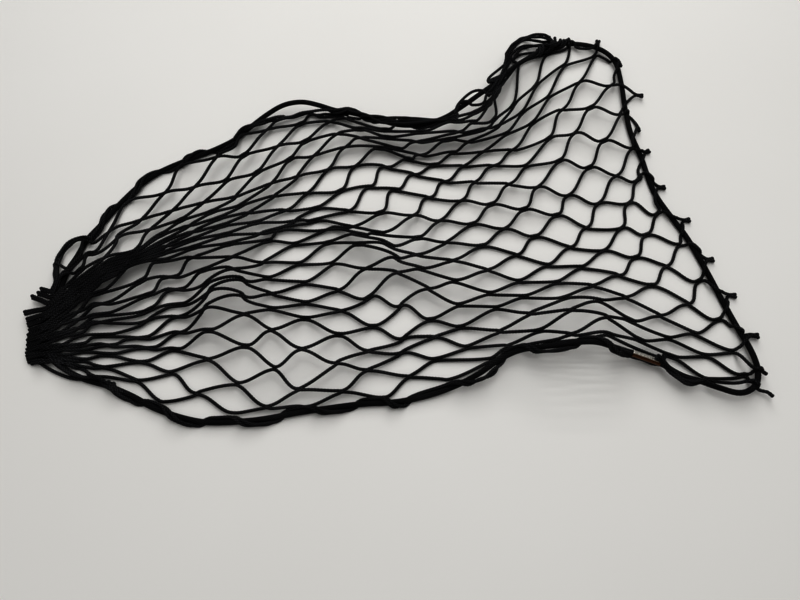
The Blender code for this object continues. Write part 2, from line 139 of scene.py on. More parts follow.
# The drawn-together middle of a knot, as it shows in the frame, by row and u.
JOINTS = {
    0: {-2: (-2.9, -16.8), 0: (5.9, 2.7), 2: (6.6, -3.9), 4: (4.8, -2.8), 6: (3.1, -8.7),
        8: (16.7, -3.4), 10: (8.5, -0.2), 12: (10.0, 3.1), 14: (3.2, -11.6), 16: (3.0, -0.5),
        18: (2.6, -12.2), 20: (6.0, 0.0)},
    1: {-3: (4.5, -6.6), -1: (12.0, -12.0), 1: (7.9, -8.3), 3: (7.1, -4.5), 5: (4.5, -2.9),
        7: (1.2, -0.6), 9: (8.6, 2.0), 11: (10.1, 1.7), 13: (5.2, -2.5), 15: (2.0, -2.8),
        17: (-4.4, 1.4), 19: (4.1, -2.1)},
    2: {-2: (5.7, -6.1), 0: (5.2, 0.0), 2: (7.2, -4.4), 4: (7.1, -4.4), 6: (1.8, -1.5), 8: (1.4, -0.5),
        10: (11.2, 2.2), 12: (9.7, 0.6), 14: (2.4, -1.1), 16: (1.9, -3.2), 18: (0.4, -4.1),
        20: (6.0, 0.0)},
    3: {-3: (6.6, -4.6), -1: (7.0, -6.4), 1: (2.4, -4.5), 3: (7.3, -4.1), 5: (2.6, -2.0),
        7: (0.9, -1.0), 9: (5.2, -0.6), 11: (9.7, 0.4), 13: (10.0, 0.6), 15: (1.9, -1.8),
        17: (0.6, -7.6), 19: (3.8, -0.8)},
    4: {-2: (6.5, -5.3), 0: (9.0, -6.0), 2: (7.5, -3.9), 4: (7.5, -3.7), 6: (0.7, -0.5),
        8: (0.4, -0.5), 10: (9.7, 0.0), 12: (10.7, -0.8), 14: (4.0, 0.2), 16: (1.9, -1.9),
        18: (0.4, -2.9), 20: (5.5, -1.8)},
    5: {-3: (6.4, -4.8), -1: (7.2, -5.4), 1: (9.0, -5.0), 3: (7.6, -3.6), 5: (2.9, -2.0),
        7: (0.8, -0.9), 9: (5.6, -1.5), 11: (9.7, 1.0), 13: (7.4, -0.3), 15: (0.7, -1.9),
        17: (1.3, -2.8), 19: (5.5, -1.8)},
    6: {-2: (7.3, -5.3), 0: (8.0, -6.0), 2: (7.5, -3.8), 4: (7.8, -3.2), 6: (0.6, -0.5),
        8: (0.5, -0.5), 10: (8.2, 0.8), 12: (9.3, 0.2), 14: (2.5, -0.9), 16: (0.7, -1.9),
        18: (4.1, -2.1), 20: (6.4, -4.8)},
    7: {-3: (6.9, -4.0), -1: (7.3, -5.3), 1: (9.0, -5.0), 3: (7.7, -3.3), 5: (4.6, -2.7),
        7: (2.7, -2.3), 9: (2.5, -0.6), 11: (7.7, 1.5), 13: (12.0, -2.0), 15: (4.7, -3.9),
        17: (1.1, -1.3), 19: (0.4, -3.0)},
    8: {-2: (7.3, -5.2), 0: (8.0, -6.4), 2: (7.6, -3.6), 4: (7.9, -2.9), 6: (3.3, -1.4),
        8: (0.6, -0.3), 10: (10.0, 1.0), 12: (10.0, 0.6), 14: (4.8, -0.8), 16: (1.2, -1.0),
        18: (2.8, -1.8), 20: (3.4, -1.9)},
    9: {-3: (6.7, -4.4), -1: (7.3, -5.2), 1: (9.0, -5.0), 3: (7.8, -3.0), 5: (5.3, -1.7),
        7: (4.4, -1.4), 9: (0.8, -0.5), 11: (8.0, 1.8), 13: (4.6, -0.1), 15: (4.6, -2.2),
        17: (2.3, -2.2), 19: (3.1, -2.8)},
    10: {-2: (7.3, -5.2), 0: (8.0, -6.4), 2: (7.8, -3.2), 4: (8.0, -2.4), 6: (7.2, -0.7),
        8: (1.8, -0.6), 10: (8.4, 1.5), 12: (7.8, -0.8), 14: (2.5, -0.6), 16: (1.6, -1.3),
        18: (2.2, -1.6), 20: (3.7, -1.3)},
    11: {-3: (6.7, -4.4), -1: (7.3, -5.3), 1: (8.0, -6.0), 3: (8.0, -2.6), 5: (0.7, -0.2),
        7: (1.2, -0.3), 9: (5.6, -0.2), 11: (6.0, 1.2), 13: (4.5, -0.6), 15: (5.6, -1.1),
        17: (4.5, -1.4), 19: (2.1, -1.6)},
    12: {-2: (7.3, -5.3), 0: (8.0, -6.0), 2: (7.9, -2.8), 4: (8.2, -1.9), 6: (5.9, -3.0),
        8: (5.0, -0.3), 10: (7.0, 0.8), 12: (6.5, 0.4), 14: (9.2, -1.0), 16: (2.4, -1.3),
        18: (1.4, -0.1), 20: (2.7, -0.6)},
    13: {-3: (6.8, -4.3), -1: (7.4, -5.1), 1: (6.0, -7.0), 3: (8.0, -2.4), 5: (1.3, -0.5),
        7: (9.8, -2.4), 9: (0.7, -0.3), 11: (6.5, 0.4), 13: (3.5, -0.4), 15: (2.8, -1.2),
        17: (2.3, -0.4), 19: (2.4, -1.8)},
    14: {-2: (7.5, -5.0), 0: (14.0, -4.0), 2: (12.0, -1.2), 4: (8.2, -1.9), 6: (2.7, -1.9),
        8: (2.4, 0.2), 10: (1.4, -0.5), 12: (2.5, -0.2), 14: (4.5, -0.2), 16: (1.7, -1.1),
        18: (2.0, -0.1), 20: (3.5, -1.3)},
    15: {-3: (7.1, -3.8), -1: (7.8, -4.5), 1: (11.0, -6.0), 3: (9.0, -1.6), 5: (2.8, -0.8),
        7: (13.5, -3.8), 9: (10.6, 1.6), 11: (2.1, -1.4), 13: (0.4, -0.1), 15: (1.0, -0.3),
        17: (0.4, -0.2), 19: (3.8, -1.0)},
    16: {-2: (8.0, -4.1), 0: (15.0, -1.4), 2: (16.0, -1.2), 4: (8.2, -1.6), 6: (3.4, -0.4),
        8: (13.5, 2.7), 10: (1.4, 0.2), 12: (1.7, -0.3), 14: (2.8, -0.7), 16: (2.0, -0.1),
        18: (5.0, -0.4), 20: (3.0, -2.5)},
    17: {-3: (7.5, -2.8), -1: (8.2, -3.8), 1: (12.0, -4.0), 3: (8.0, -2.7), 5: (4.9, -1.6),
        7: (2.2, -1.3), 9: (9.1, 4.9), 11: (5.3, -1.4), 13: (2.7, -0.5), 15: (1.5, 0.1),
        17: (1.7, -1.1), 19: (2.3, -1.6)},
    18: {-2: (8.3, -3.4), 0: (16.0, -1.6), 2: (16.0, -0.8), 4: (9.3, 1.4), 6: (3.8, -0.5),
        8: (1.1, -0.0), 10: (9.7, 0.7), 12: (1.8, 0.0), 14: (1.2, -0.3), 16: (4.2, 0.1),
        18: (2.6, -0.3), 20: (2.8, -2.7)},
    19: {-3: (7.6, -2.6), -1: (8.4, -3.3), 1: (10.0, -5.0), 3: (5.6, -5.3), 5: (4.3, 0.3),
        7: (2.8, -1.3), 9: (4.0, 3.0), 11: (2.2, -0.2), 13: (4.2, 0.4), 15: (5.0, 0.2),
        17: (1.2, -0.4), 19: (2.8, 0.4)},
    20: {-2: (8.4, -3.2), 0: (18.0, -1.2), 2: (14.0, -1.2), 4: (5.8, 3.8), 6: (3.0, -0.1),
        8: (1.6, -2.3), 10: (5.7, 1.5), 12: (4.8, 0.4), 14: (3.4, 0.1), 16: (1.3, 0.1),
        18: (2.7, -0.4), 20: (2.2, -3.2)},
    21: {-3: (7.8, -1.6), -1: (8.6, -2.6), 1: (11.0, -6.0), 3: (6.5, -7.7), 5: (6.6, 1.0),
        7: (3.6, 0.2), 9: (5.1, 0.9), 11: (4.1, 0.6), 13: (4.1, -0.3), 15: (3.2, -0.1),
        17: (2.7, -0.7), 19: (3.2, -0.8)},
    22: {-2: (8.8, -1.9), 0: (20.0, -0.6), 2: (12.0, -1.2), 4: (4.0, 3.6), 6: (4.3, 0.0),
        8: (8.2, -5.3), 10: (3.8, 1.4), 12: (4.4, 0.1), 14: (6.0, -1.0), 16: (6.1, 1.3),
        18: (3.8, 0.3), 20: (2.9, -2.6)},
    23: {-3: (7.9, -1.3), -1: (8.9, -1.4), 1: (22.0, -0.4), 3: (5.2, -5.5), 5: (5.9, 0.7),
        7: (2.0, -0.1), 9: (4.0, -3.5), 11: (4.3, -0.5), 13: (5.5, -0.2), 15: (4.4, 0.1),
        17: (1.4, 0.5), 19: (2.7, -0.4)},
    24: {-2: (8.9, -1.0), 0: (16.0, 0.4), 2: (10.0, -1.0), 4: (1.4, 1.2), 6: (2.0, 0.2), 8: (2.0, 0.1),
        10: (0.5, -0.0), 12: (3.4, -0.2), 14: (9.6, -2.9), 16: (3.5, 0.7), 18: (2.8, 1.1),
        20: (3.1, -2.3)},
    25: {-3: (8.0, -0.3), -1: (9.0, -0.6), 1: (18.0, 0.8), 3: (8.0, 0.0), 5: (5.4, 0.7), 7: (2.3, 0.0),
        9: (5.4, -3.3), 11: (5.9, -0.9), 13: (4.3, -1.2), 15: (3.6, 1.0), 17: (3.3, 1.1),
        19: (2.9, -0.5)},
    26: {-2: (9.0, -0.2), 0: (14.0, 0.4), 2: (8.0, 0.8), 4: (0.9, 0.5), 6: (2.8, -0.6), 8: (2.0, -0.0),
        10: (1.4, 0.4), 12: (3.5, -0.6), 14: (6.8, -1.8), 16: (8.9, 4.2), 18: (5.1, 1.8),
        20: (4.3, -1.9)},
    27: {-3: (8.0, 0.8), -1: (9.0, 0.5), 1: (16.0, 0.6), 3: (6.7, 0.4), 5: (3.0, 0.5), 7: (3.8, -1.7),
        9: (8.1, -3.6), 11: (4.4, -1.0), 13: (1.0, -0.4), 15: (3.8, 1.5), 17: (4.2, 0.7),
        19: (4.7, 0.0)},
    28: {-2: (8.9, 1.3), 0: (14.0, 0.6), 2: (5.3, -0.8), 4: (4.1, 1.0), 6: (7.5, -1.8), 8: (2.2, -0.1),
        10: (1.6, 0.3), 12: (3.5, -0.4), 14: (7.0, -0.2), 16: (8.4, 3.8), 18: (6.5, 0.9),
        20: (8.0, -0.5)},
    29: {-3: (7.7, 2.2), -1: (8.8, 2.0), 1: (8.0, 2.0), 3: (4.4, -1.1), 5: (1.8, -0.7), 7: (1.9, -0.7),
        9: (5.6, -1.2), 11: (2.9, -1.0), 13: (15.0, -2.8), 15: (3.6, 1.7), 17: (14.4, 5.0),
        19: (6.0, -1.0)},
    30: {-2: (8.0, 1.6), 0: (10.0, 0.6), 2: (7.0, 1.6), 4: (9.0, 1.0), 6: (10.0, 0.0), 8: (9.0, -0.6),
        10: (10.0, -0.4), 12: (13.7, 4.3), 14: (9.0, -1.0), 16: (9.1, 1.9), 18: (10.0, 2.0),
        20: (6.8, 4.3)},
}

# Soft waves in which the net stands off the table.
WAVES = (
    # name            x     y    long wide turn height  (mm, degrees)
    ("left ridge", -149, -97, 44, 26, 98, 26),
    ("middle ridge", -4, -52, 40, 30, 10, 24),
    ("hollow's rim", 54, -90, 32, 24, 0, 15),
    ("front arch", 162, -133, 54, 28, -4, 24),
    ("back rope", 21, 83, 88, 22, 4, 17),
    ("back left", -169, 20, 66, 46, 38, 15),
    ("back loops", 98, 125, 42, 36, 30, 20),
    ("back right", 204, 105, 40, 64, -10, 10),
    ("left gather", -264, -87, 44, 44, 20, 9),
    ("folded band", -189, -55, 60, 20, 20, 11),
    ("front left", -79, -160, 48, 34, 0, 13),
    ("middle", 111, 5, 40, 30, 0, 7),
)

# The shock cord in the camera's frame, with its height in mm, from one end
# of the ferrule round to the other.
CORD = (
    # x    y    height
    (660, 362.6, 8.5), (682, 375.5, 8), (700, 381, 8), (720, 388, 8.5), (738, 393, 8.5), (748, 391.5, 8.5),
    (756.5, 384, 8), (758, 371, 7.5), (754, 357, 6.5), (748, 345, 5.5), (737, 327, 4), (724, 304, 3),
    (707, 272, 3), (687, 238, 3), (673.5, 220, 3), (661.5, 204, 3), (655, 194, 3), (649, 180, 3), (641, 157, 3.4),
    (631, 134, 4), (625, 108, 5), (621, 82, 6), (615, 62, 6), (605, 52, 5), (590, 46, 4),
    (574, 44, 4), (560, 44, 6), (546, 48, 10), (530, 57, 14), (514, 67, 18), (498, 81, 20),
    (480, 94, 20), (460, 108, 18), (446, 117, 16), (425, 124, 14), (400, 125, 12),
    (376, 119, 10), (352, 113, 8), (334, 110, 8), (318, 105, 12), (302, 102, 14),
    (284, 105, 12), (268, 114, 8), (252, 126, 4), (236, 139, 3), (214, 150, 3),
    (185, 161, 3), (160, 172, 3), (138, 187, 3), (118, 206, 3), (102, 224, 3),
    (87, 240, 3), (77, 257, 3), (68, 270, 3), (62, 285, 3), (57, 300, 3),
    (52, 310, 3.2), (48, 320, 3.2), (46, 333, 3.2), (46, 346, 3.2), (51, 358, 3),
    (66, 370, 3), (84, 379, 3), (108, 386, 3), (132, 396, 3), (152, 407, 3),
    (176, 416, 3), (203, 422, 3), (232, 422, 3), (264, 419, 3), (296, 413, 3),
    (330, 408, 3), (362, 404, 3), (396, 402, 3), (426, 396, 3), (455, 386, 5),
    (480, 373, 9), (500, 359, 14), (520, 350, 18), (540, 347, 21), (558, 345, 24),
    (578, 342, 26), (597, 342, 25), (614, 347, 20), (632, 352.8, 13.5),
)

# Cut ends past the cord on the right edge. For each knot row: the back
# twine's way over the cord, the front twine's, where they join, and the tip.
RIGHT_ENDS = (
    # v, back twine, front twine, fork, tip
    (0, ((535, 38), (543, 39)), ((536, 41), (544, 42)), (551, 40.5), (550.5, 37)),
    (2, ((538, 41), (546, 43)), ((540, 46), (548, 45.5)), (556, 42.5), (556, 38)),
    (4, ((541, 45), (550, 46)), ((546, 51), (553, 49)), (560.5, 44), (561.5, 40)),
    (6, ((556, 49), (563, 46)), ((568.8, 46), (569, 44)), (569.5, 42.3), (569.8, 39)),
    (8, ((580, 48.5), (590, 48.5)), ((596, 53), (597, 49)), (597.5, 45), (598, 41)),
    (10, ((604, 58.5), (612, 63)), ((614, 76), (617, 69)), (618.5, 64.5), (621, 69)),
    (12, ((617, 84.5), (625, 86.8)), ((624, 107), (628, 101)), (635.5, 95), (642.5, 96)),
    (14, ((626, 115), (632, 119.5)), ((632, 141), (635, 133.5)), (638.5, 126.5), (640.5, 131)),
    (16, ((634.5, 149), (640, 150.5)), ((638, 171), (642, 160)), (644.5, 152.5), (649, 151)),
    (18, ((641, 174), (650, 180)), ((655.3, 202), (655.5, 193)), (658.5, 187.2), (664.5, 187.5)),
    (20, ((664, 211.5), (674, 217)), ((680.3, 235), (681.3, 226)), (683, 220.5), (689.5, 220)),
    (22, ((688, 245.5), (699, 254)), ((703.3, 274), (704.5, 266)), (706.5, 259.7), (713, 259.7)),
    (24, ((707, 281.5), (718, 290)), ((724, 311), (726, 301)), (728, 295.2), (735.5, 295.8)),
    (26, ((729, 325), (742, 335)), ((742, 345), (747, 338.5)), (750.5, 335.2), (758, 336)),
    (28, ((741, 356), (752, 366.5)), ((749, 374.5), (755, 370.5)), (762, 370.5), (766.5, 372.5)),
    (30, ((751, 382.5), (759, 390)), ((754, 380.5), (761, 383)), (768.5, 391.5), (773.5, 395)),
)
# Cut ends past the cord at the gathered end: knot row, root, tip and height.
LEFT_ENDS = (
    # v, root x, y, tip x, y, height in mm
    (1, 51, 291.5, 41, 289.5, 8), (3, 51, 297, 38, 293.5, 7), (5, 49, 303, 32, 297, 7),
    (7, 46, 308.5, 24.5, 313, 6), (9, 45, 314, 27, 320, 6), (11, 44, 320, 28, 325, 5),
    (13, 44, 325.5, 29.5, 331, 5), (15, 43, 331, 28, 336, 5), (17, 43, 336, 27.5, 341, 5),
    (19, 43, 341, 27.5, 346, 4.5), (21, 44, 346, 27, 350.5, 4), (23, 44, 350, 26.5, 354, 4),
    (25, 45, 354, 27, 357, 3.5), (27, 46, 357.5, 28, 361, 2.5), (29, 40, 361, 31, 362.5, 2),
)
# Stretches where the edge twine leaves the cord: edge row, first knot, one or
# two twines, and the way it goes, with its height in mm.
STRAYS = (
    (0, -2, 2, ((53, 292, 5), (56.5, 281, 4.5), (56, 272, 4.5), (57.5, 262, 5), (61, 254, 5.5),
        (67, 246, 6), (75, 240, 6.5), (83, 238.3, 7), (90, 239, 7))),
    (0, 6, 2, ((236, 139, 6), (241, 131, 7), (250, 126.5, 8), (259, 123.5, 8), (268, 120.5, 9),
        (276, 118.5, 10), (284, 117.5, 11))),
    (0, 8, 1, ((284, 117.5, 11), (292, 116.5, 12), (301, 113, 12), (311, 111.5, 12), (322, 110, 12),
        (331, 110, 12))),
    (0, 14, 1, ((455, 113, 20), (457.5, 105.5, 20), (462, 100, 20), (467.5, 95, 20), (473, 91.5, 20),
        (479, 90.3, 21), (484.5, 91.6, 22), (488, 95, 21))),
    (0, 16, 2, ((488, 95, 21), (493, 88, 23), (499, 81, 24), (503, 74, 24), (505.5, 66, 24))),
    (0, 18, 2, ((505.5, 66, 24), (506, 60, 24), (508, 53, 23), (513, 46, 21), (520, 40.5, 19),
        (528, 37.3, 17), (537, 35.8, 15), (545, 36.5, 13), (551, 40, 11), (556, 44, 9))),
    (30, -3, 1, ((38, 361.5, 2), (45, 366.5, 2), (54, 371.5, 2), (63, 375.5, 2), (71, 378.2, 2),
        (80, 379.3, 2.5), (89, 378.5, 4), (98, 378.3, 5))),
    (30, 0, 2, ((88, 375.5, 6), (98, 378, 6.5), (104, 383, 6.5), (110, 387, 6.5), (116, 390.5, 6), (121, 393.5, 4.5))),
    (30, -2, 1, ((50, 358, 6), (57, 364, 6.5), (68, 372.5, 7), (80, 376.5, 7), (90, 377.5, 6.5), (100, 379, 6))),
    (30, 15, 2, ((621, 350.5, 20), (627, 352.5, 17.5), (632, 355, 11.5), (639, 357.5, 7.5), (647, 360, 6.2),
        (655, 363, 5), (661, 364, 5.5), (666, 366, 7))),
    (30, 17, 2, ((657, 356.8, 14.5), (661, 359.5, 13.5), (664.5, 363.5, 12.5), (668.5, 368.5, 11), (674, 373.5, 10), (680, 378.5, 9.5),
        (686, 382, 9.5), (693, 383, 10), (700, 381.5, 11), (707, 379.5, 12))),
    (30, 18, 1, ((707, 379.5, 5), (715, 381.5, 6), (725, 382.8, 7), (737, 383, 8), (748, 381, 9),
        (754, 380.3, 10))),
)
# How the two edge twines wind round the cord: edge row, then places along the
# cord with the side they lie on there, in degrees (180 is the net's side, 90
# the top, 0 the outer side) and how far they stand off it, in mm.
WINDING = (
    (0, ((90, 240, 180, 0), (99, 226, 150, 0.3), (105, 218, 60, 0), (111, 209, 0, 0.8), (117, 203, -60, 0),
        (122, 198, -150, 0), (128, 198, -180, 0.4), (137, 190, -210, 0.2), (144, 183, -300, 0),
        (153, 173, -365, 0.9), (162, 170, -430, 0), (169, 167, -500, 0.2), (181, 163, -540, 0.4),
        (188, 159, -640, 0), (201, 151, -725, 0.8), (211, 149, -800, 0), (219, 148, -870, 0.3),
        (234, 140, -900, 0.2))),
    (0, ((331, 110, -180, 0), (343, 112, -240, 0), (352, 114, -340, 0.4), (362, 117, -430, 0),
        (376, 120, -540, 0.4), (390, 124, -640, 0), (404, 126, -720, 0.5), (420, 125, -830, 0),
        (438, 121, -900, 0.2), (455, 112, -900, 0.2))),
    (0, ((537, 53, 180, 0.5), (542, 50.5, 60, 0.4), (546, 48.5, -60, 0.9), (550, 47.3, -190, 0.8),
        (554, 46, -330, 1.0), (558, 45, -460, 0.6), (562, 44.4, -590, 0.3), (566, 44, -700, 0))),
    (0, ((541, 51, 0, 0.6), (546, 48.6, -120, 1.0), (551, 47, -260, 1.0), (556, 45.5, -380, 0.9),
        (560, 44.7, -500, 0.4))),
    (30, ((104, 384, 265, 0), (111, 386, 150, 0), (117, 390, 40, 0.2), (125, 394, -5, 1.0), (136, 399, -20, 0.9), (145, 402, -110, 0),
        (152, 404, -170, 0.2), (161, 407, -185, 0.3), (170, 412, -270, 0), (179, 418, -345, 0.7),
        (190, 421, -365, 1.1), (200, 422, -400, 0), (207, 421, -500, 0.2), (218, 419, -545, 0.6),
        (232, 418, -550, 0.4), (240, 420, -640, 0), (251, 421, -715, 0.8), (266, 420, -725, 1.2),
        (277, 418, -760, 0.2), (286, 415, -860, 0), (296, 412, -900, 0.4), (305, 411, -905, 0.4),
        (315, 410, -990, 0), (326, 409, -1070, 0.7), (342, 408, -1085, 0.8), (354, 406, -1140, 0),
        (362, 405, -1230, 0.2), (372, 403, -1262, 0.4), (383, 403, -1268, 0.4), (388, 402, -1350, 0),
        (395, 402, -1435, 1.0), (401, 401, -1455, 0.6), (409, 400, -1540, 0), (420, 397, -1600, 0.2),
        (435, 391, -1620, 0.2), (447, 386, -1630, 0.3), (458, 381, -1700, 0.2), (468, 377, -1790, 1.2),
        (480, 373, -1802, 3.4), (491, 366, -1806, 3.2), (499, 359, -1860, 1.0), (508, 355, -1960, 0),
        (520, 350, -1985, 0.2), (528, 349, -2050, 0), (536, 348, -2150, 1.4), (545, 347, -2165, 1.6),
        (557, 346, -2165, 1.2), (568, 344, -2160, 0.8), (578, 342, -2240, 0), (584, 342, -2330, 0),
        (596, 342, -2345, 0.4), (606, 344, -2420, 0.2), (614, 347, -2520, 1.0), (621, 350, -2530, 1.6),
        (628, 353, -2540, 0.8), (631, 354, -2600, 0.2))),
)


# ------------------------------------------------------------ form
def stand(x, y):
    """How far the net stands off the table there, in metres."""
    total = 0.0
    for _, cx, cy, long, wide, turn, high in WAVES:
        c, s = math.cos(math.radians(turn)), math.sin(math.radians(turn))
        dx, dy = x / MM - cx, y / MM - cy
        p, q = (dx * c + dy * s) / long, (dy * c - dx * s) / wide
        total += high * math.exp(-(p * p + q * q))
    return total * MM


def lying(px, py, base=TWINE / 2 + 0.5 * MM):
    """The point of the net seen at px, py, on its waves."""
    z = base
    for _ in range(14):
        p = at(px, py, z)
        z = 0.5 * z + 0.5 * (base + stand(p[0], p[1]))
    return at(px, py, z)


def unit(a):
    return a / max(1e-12, float(np.linalg.norm(a)))


def evenly(points, step):
    """The polyline's points laid again at one even spacing."""
    points = np.asarray(points, float)
    run = np.concatenate([[0], np.cumsum(np.linalg.norm(np.diff(points, axis=0), axis=1))])
    keep = np.concatenate([[True], np.diff(run) > 1e-9])
    points, run = points[keep], run[keep]
    count = max(2, int(math.ceil(run[-1] / step)))
    want = np.linspace(0, run[-1], count + 1)
    return np.stack([np.interp(want, run, points[:, k]) for k in range(3)], axis=1)


def smoothed(points, rounds):
    points = np.array(points, float)
    for _ in range(rounds):
        points[1:-1] += 0.5 * ((points[:-2] + points[2:]) / 2 - points[1:-1])
    return points


def spline(points, step):
    """Centripetal Catmull-Rom through the points."""
    p = [np.asarray(q, float) for q in points]
    p = [2 * p[0] - p[1]] + p + [2 * p[-1] - p[-2]]
    out = []
    for k in range(1, len(p) - 2):
        a, b, c, d = p[k - 1 : k + 3]
        t1 = max(1e-6, float(np.linalg.norm(b - a))) ** 0.5
        t2 = t1 + max(1e-6, float(np.linalg.norm(c - b))) ** 0.5
        t3 = t2 + max(1e-6, float(np.linalg.norm(d - c))) ** 0.5
        n = max(4, int(np.linalg.norm(c - b) / (0.8 * MM)))
        for t in np.linspace(t1, t2, n, endpoint=False):
            a1 = a + (b - a) * t / t1
            a2 = b + (c - b) * (t - t1) / (t2 - t1)
            a3 = c + (d - c) * (t - t2) / (t3 - t2)
            b1 = a1 + (a2 - a1) * t / t2
            b2 = a2 + (a3 - a2) * (t - t1) / (t3 - t1)
            out.append(b1 + (b2 - b1) * (t - t1) / (t2 - t1))
    out.append(p[-2])
    return evenly(out, step)


def bezier(a, ha, hb, b, count=14):
    t = np.linspace(0, 1, count)[:, None]
    return (1 - t) ** 3 * a + 3 * (1 - t) ** 2 * t * ha + 3 * (1 - t) * t * t * hb + t**3 * b


def frames(points):
    """Tangent, side and up of each point, turned as little as can be."""
    t = np.gradient(points, axis=0)
    t /= np.linalg.norm(t, axis=1)[:, None]
    n = np.empty_like(t)
    up = np.array((0.0, 0.0, 1.0))
    first = up - t[0] * (up @ t[0])
    if np.linalg.norm(first) < 0.1:
        up = np.array((0.0, 1.0, 0.0))
        first = up - t[0] * (up @ t[0])
    n[0] = unit(first)
    for k in range(1, len(points)):
        v1 = points[k] - points[k - 1]
        c1 = max(1e-18, float(v1 @ v1))
        r = n[k - 1] - (2 / c1) * float(v1 @ n[k - 1]) * v1
        tl = t[k - 1] - (2 / c1) * float(v1 @ t[k - 1]) * v1
        v2 = t[k] - tl
        c2 = float(v2 @ v2)
        if c2 > 1e-14:
            r = r - (2 / c2) * float(v2 @ r) * v2
        n[k] = unit(r)
    return t, np.cross(n, t), n


class Tubes:
    """Gathers braided tubes into one mesh."""

    def __init__(self):
        self.points, self.faces, self.along, self.count = [], [], [], 0
        self.area, self.length = 0.0, 0.0

    def add(self, points, radius, sides, plait, relief, ends=(1.0, 1.0), close=False):
        """ends: how thick the two cut ends are, as a share of the radius."""
        points = np.asarray(points, float)
        n = len(points)
        run = np.concatenate(
            [[0], np.cumsum(np.linalg.norm(np.diff(points, axis=0), axis=1))]
        )
        _, side, up = frames(points)
        turn = 2 * math.pi * np.arange(sides) / sides
        r = np.full(n, radius) if np.isscalar(radius) else np.asarray(radius, float)
        wave = np.cos(sides / 2 * turn)[None, :] * np.cos(2 * math.pi * run / plait)[:, None]
        grow = np.ones(n)
        for end, share in ((run, ends[0]), (run[-1] - run, ends[1])):
            grow *= 1 + (share - 1) * np.exp(-((end / (2.2 * radius if np.isscalar(radius) else 2 * MM)) ** 2))
        rad = (r * grow)[:, None] * (1 + relief * wave)
        ring = (
            points[:, None, :]
            + rad[:, :, None] * np.cos(turn)[None, :, None] * side[:, None, :]
            + rad[:, :, None] * np.sin(turn)[None, :, None] * up[:, None, :]
        )
        base = self.count
        self.points.append(ring.reshape(-1, 3))
        k = np.arange(n - 1)[:, None] * sides
        j = np.arange(sides)[None, :]
        m = (j + 1) % sides
        quads = np.stack([k + j, k + sides + j, k + sides + m, k + m], axis=-1).reshape(-1, 4)
        self.faces.append(quads + base)
        u0, u1 = run[:-1, None] / MM, run[1:, None] / MM
        a0, a1 = j / sides, (j + 1) / sides
        one = np.ones((n - 1, sides))
        uv = np.stack(
            [
                np.stack([u0 * one, a0 * one], -1),
                np.stack([u1 * one, a0 * one], -1),
                np.stack([u1 * one, a1 * one], -1),
                np.stack([u0 * one, a1 * one], -1),
            ],
            axis=2,
        ).reshape(-1, 2)
        self.along.append(uv)
        self.count += n * sides
        # rounded cut ends
        for row, way in ((0, -1), (n - 1, 1)):
            t = unit(points[row] - points[row + (1 if row == 0 else -1)])
            rr = float(r[row] * grow[row])
            small = points[row] + t * rr * 0.45
            inner = (
                small
                + 0.72 * rr * np.cos(turn)[:, None] * side[row]
                + 0.72 * rr * np.sin(turn)[:, None] * up[row]
            )
            tip = points[row] + t * rr * 0.6
            self.points.append(np.vstack([inner, tip]))
            c = self.count
            rim = base + row * sides
            for q in range(sides):
                w = (q + 1) % sides
                if way > 0:
                    f = [(rim + q, c + q, c + w, rim + w), (c + q, c + sides, c + w)]
                else:
                    f = [(rim + w, c + w, c + q, rim + q), (c + w, c + sides, c + q)]
                self.faces.append(np.array([f[0]]))
                self.faces.append(np.array([[*f[1], -1]]))
                here = run[row] / MM
                self.along.append(np.array([(here, q / sides)] * 7))
            self.count += sides + 1
        self.length += run[-1]

    def build(self, name, material):
        points = np.concatenate(self.points)
        faces = np.concatenate(self.faces)
        sizes = np.where(faces[:, 3] < 0, 3, 4)
        corners = faces.reshape(-1)
        corners = corners[corners >= 0]
        mesh = bpy.data.meshes.new(name)
        mesh.vertices.add(len(points))
        mesh.vertices.foreach_set("co", points.astype(np.float32).ravel())
        mesh.loops.add(len(corners))
        mesh.loops.foreach_set("vertex_index", corners.astype(np.int32))
        mesh.polygons.add(len(faces))
        starts = np.concatenate([[0], np.cumsum(sizes)[:-1]])
        mesh.polygons.foreach_set("loop_start", starts.astype(np.int32))
        mesh.polygons.foreach_set("loop_total", sizes.astype(np.int32))
        layer = mesh.uv_layers.new(name="along")
        layer.data.foreach_set("uv", np.concatenate(self.along).astype(np.float32).ravel())
        mesh.polygons.foreach_set("use_smooth", np.ones(len(faces), bool))
        mesh.update(calc_edges=True)
        mesh.validate()
        mesh.materials.append(material)
        obj = bpy.data.objects.new(name, mesh)
        bpy.context.scene.collection.objects.link(obj)
        self.area = sum(p.area for p in mesh.polygons)
        return obj


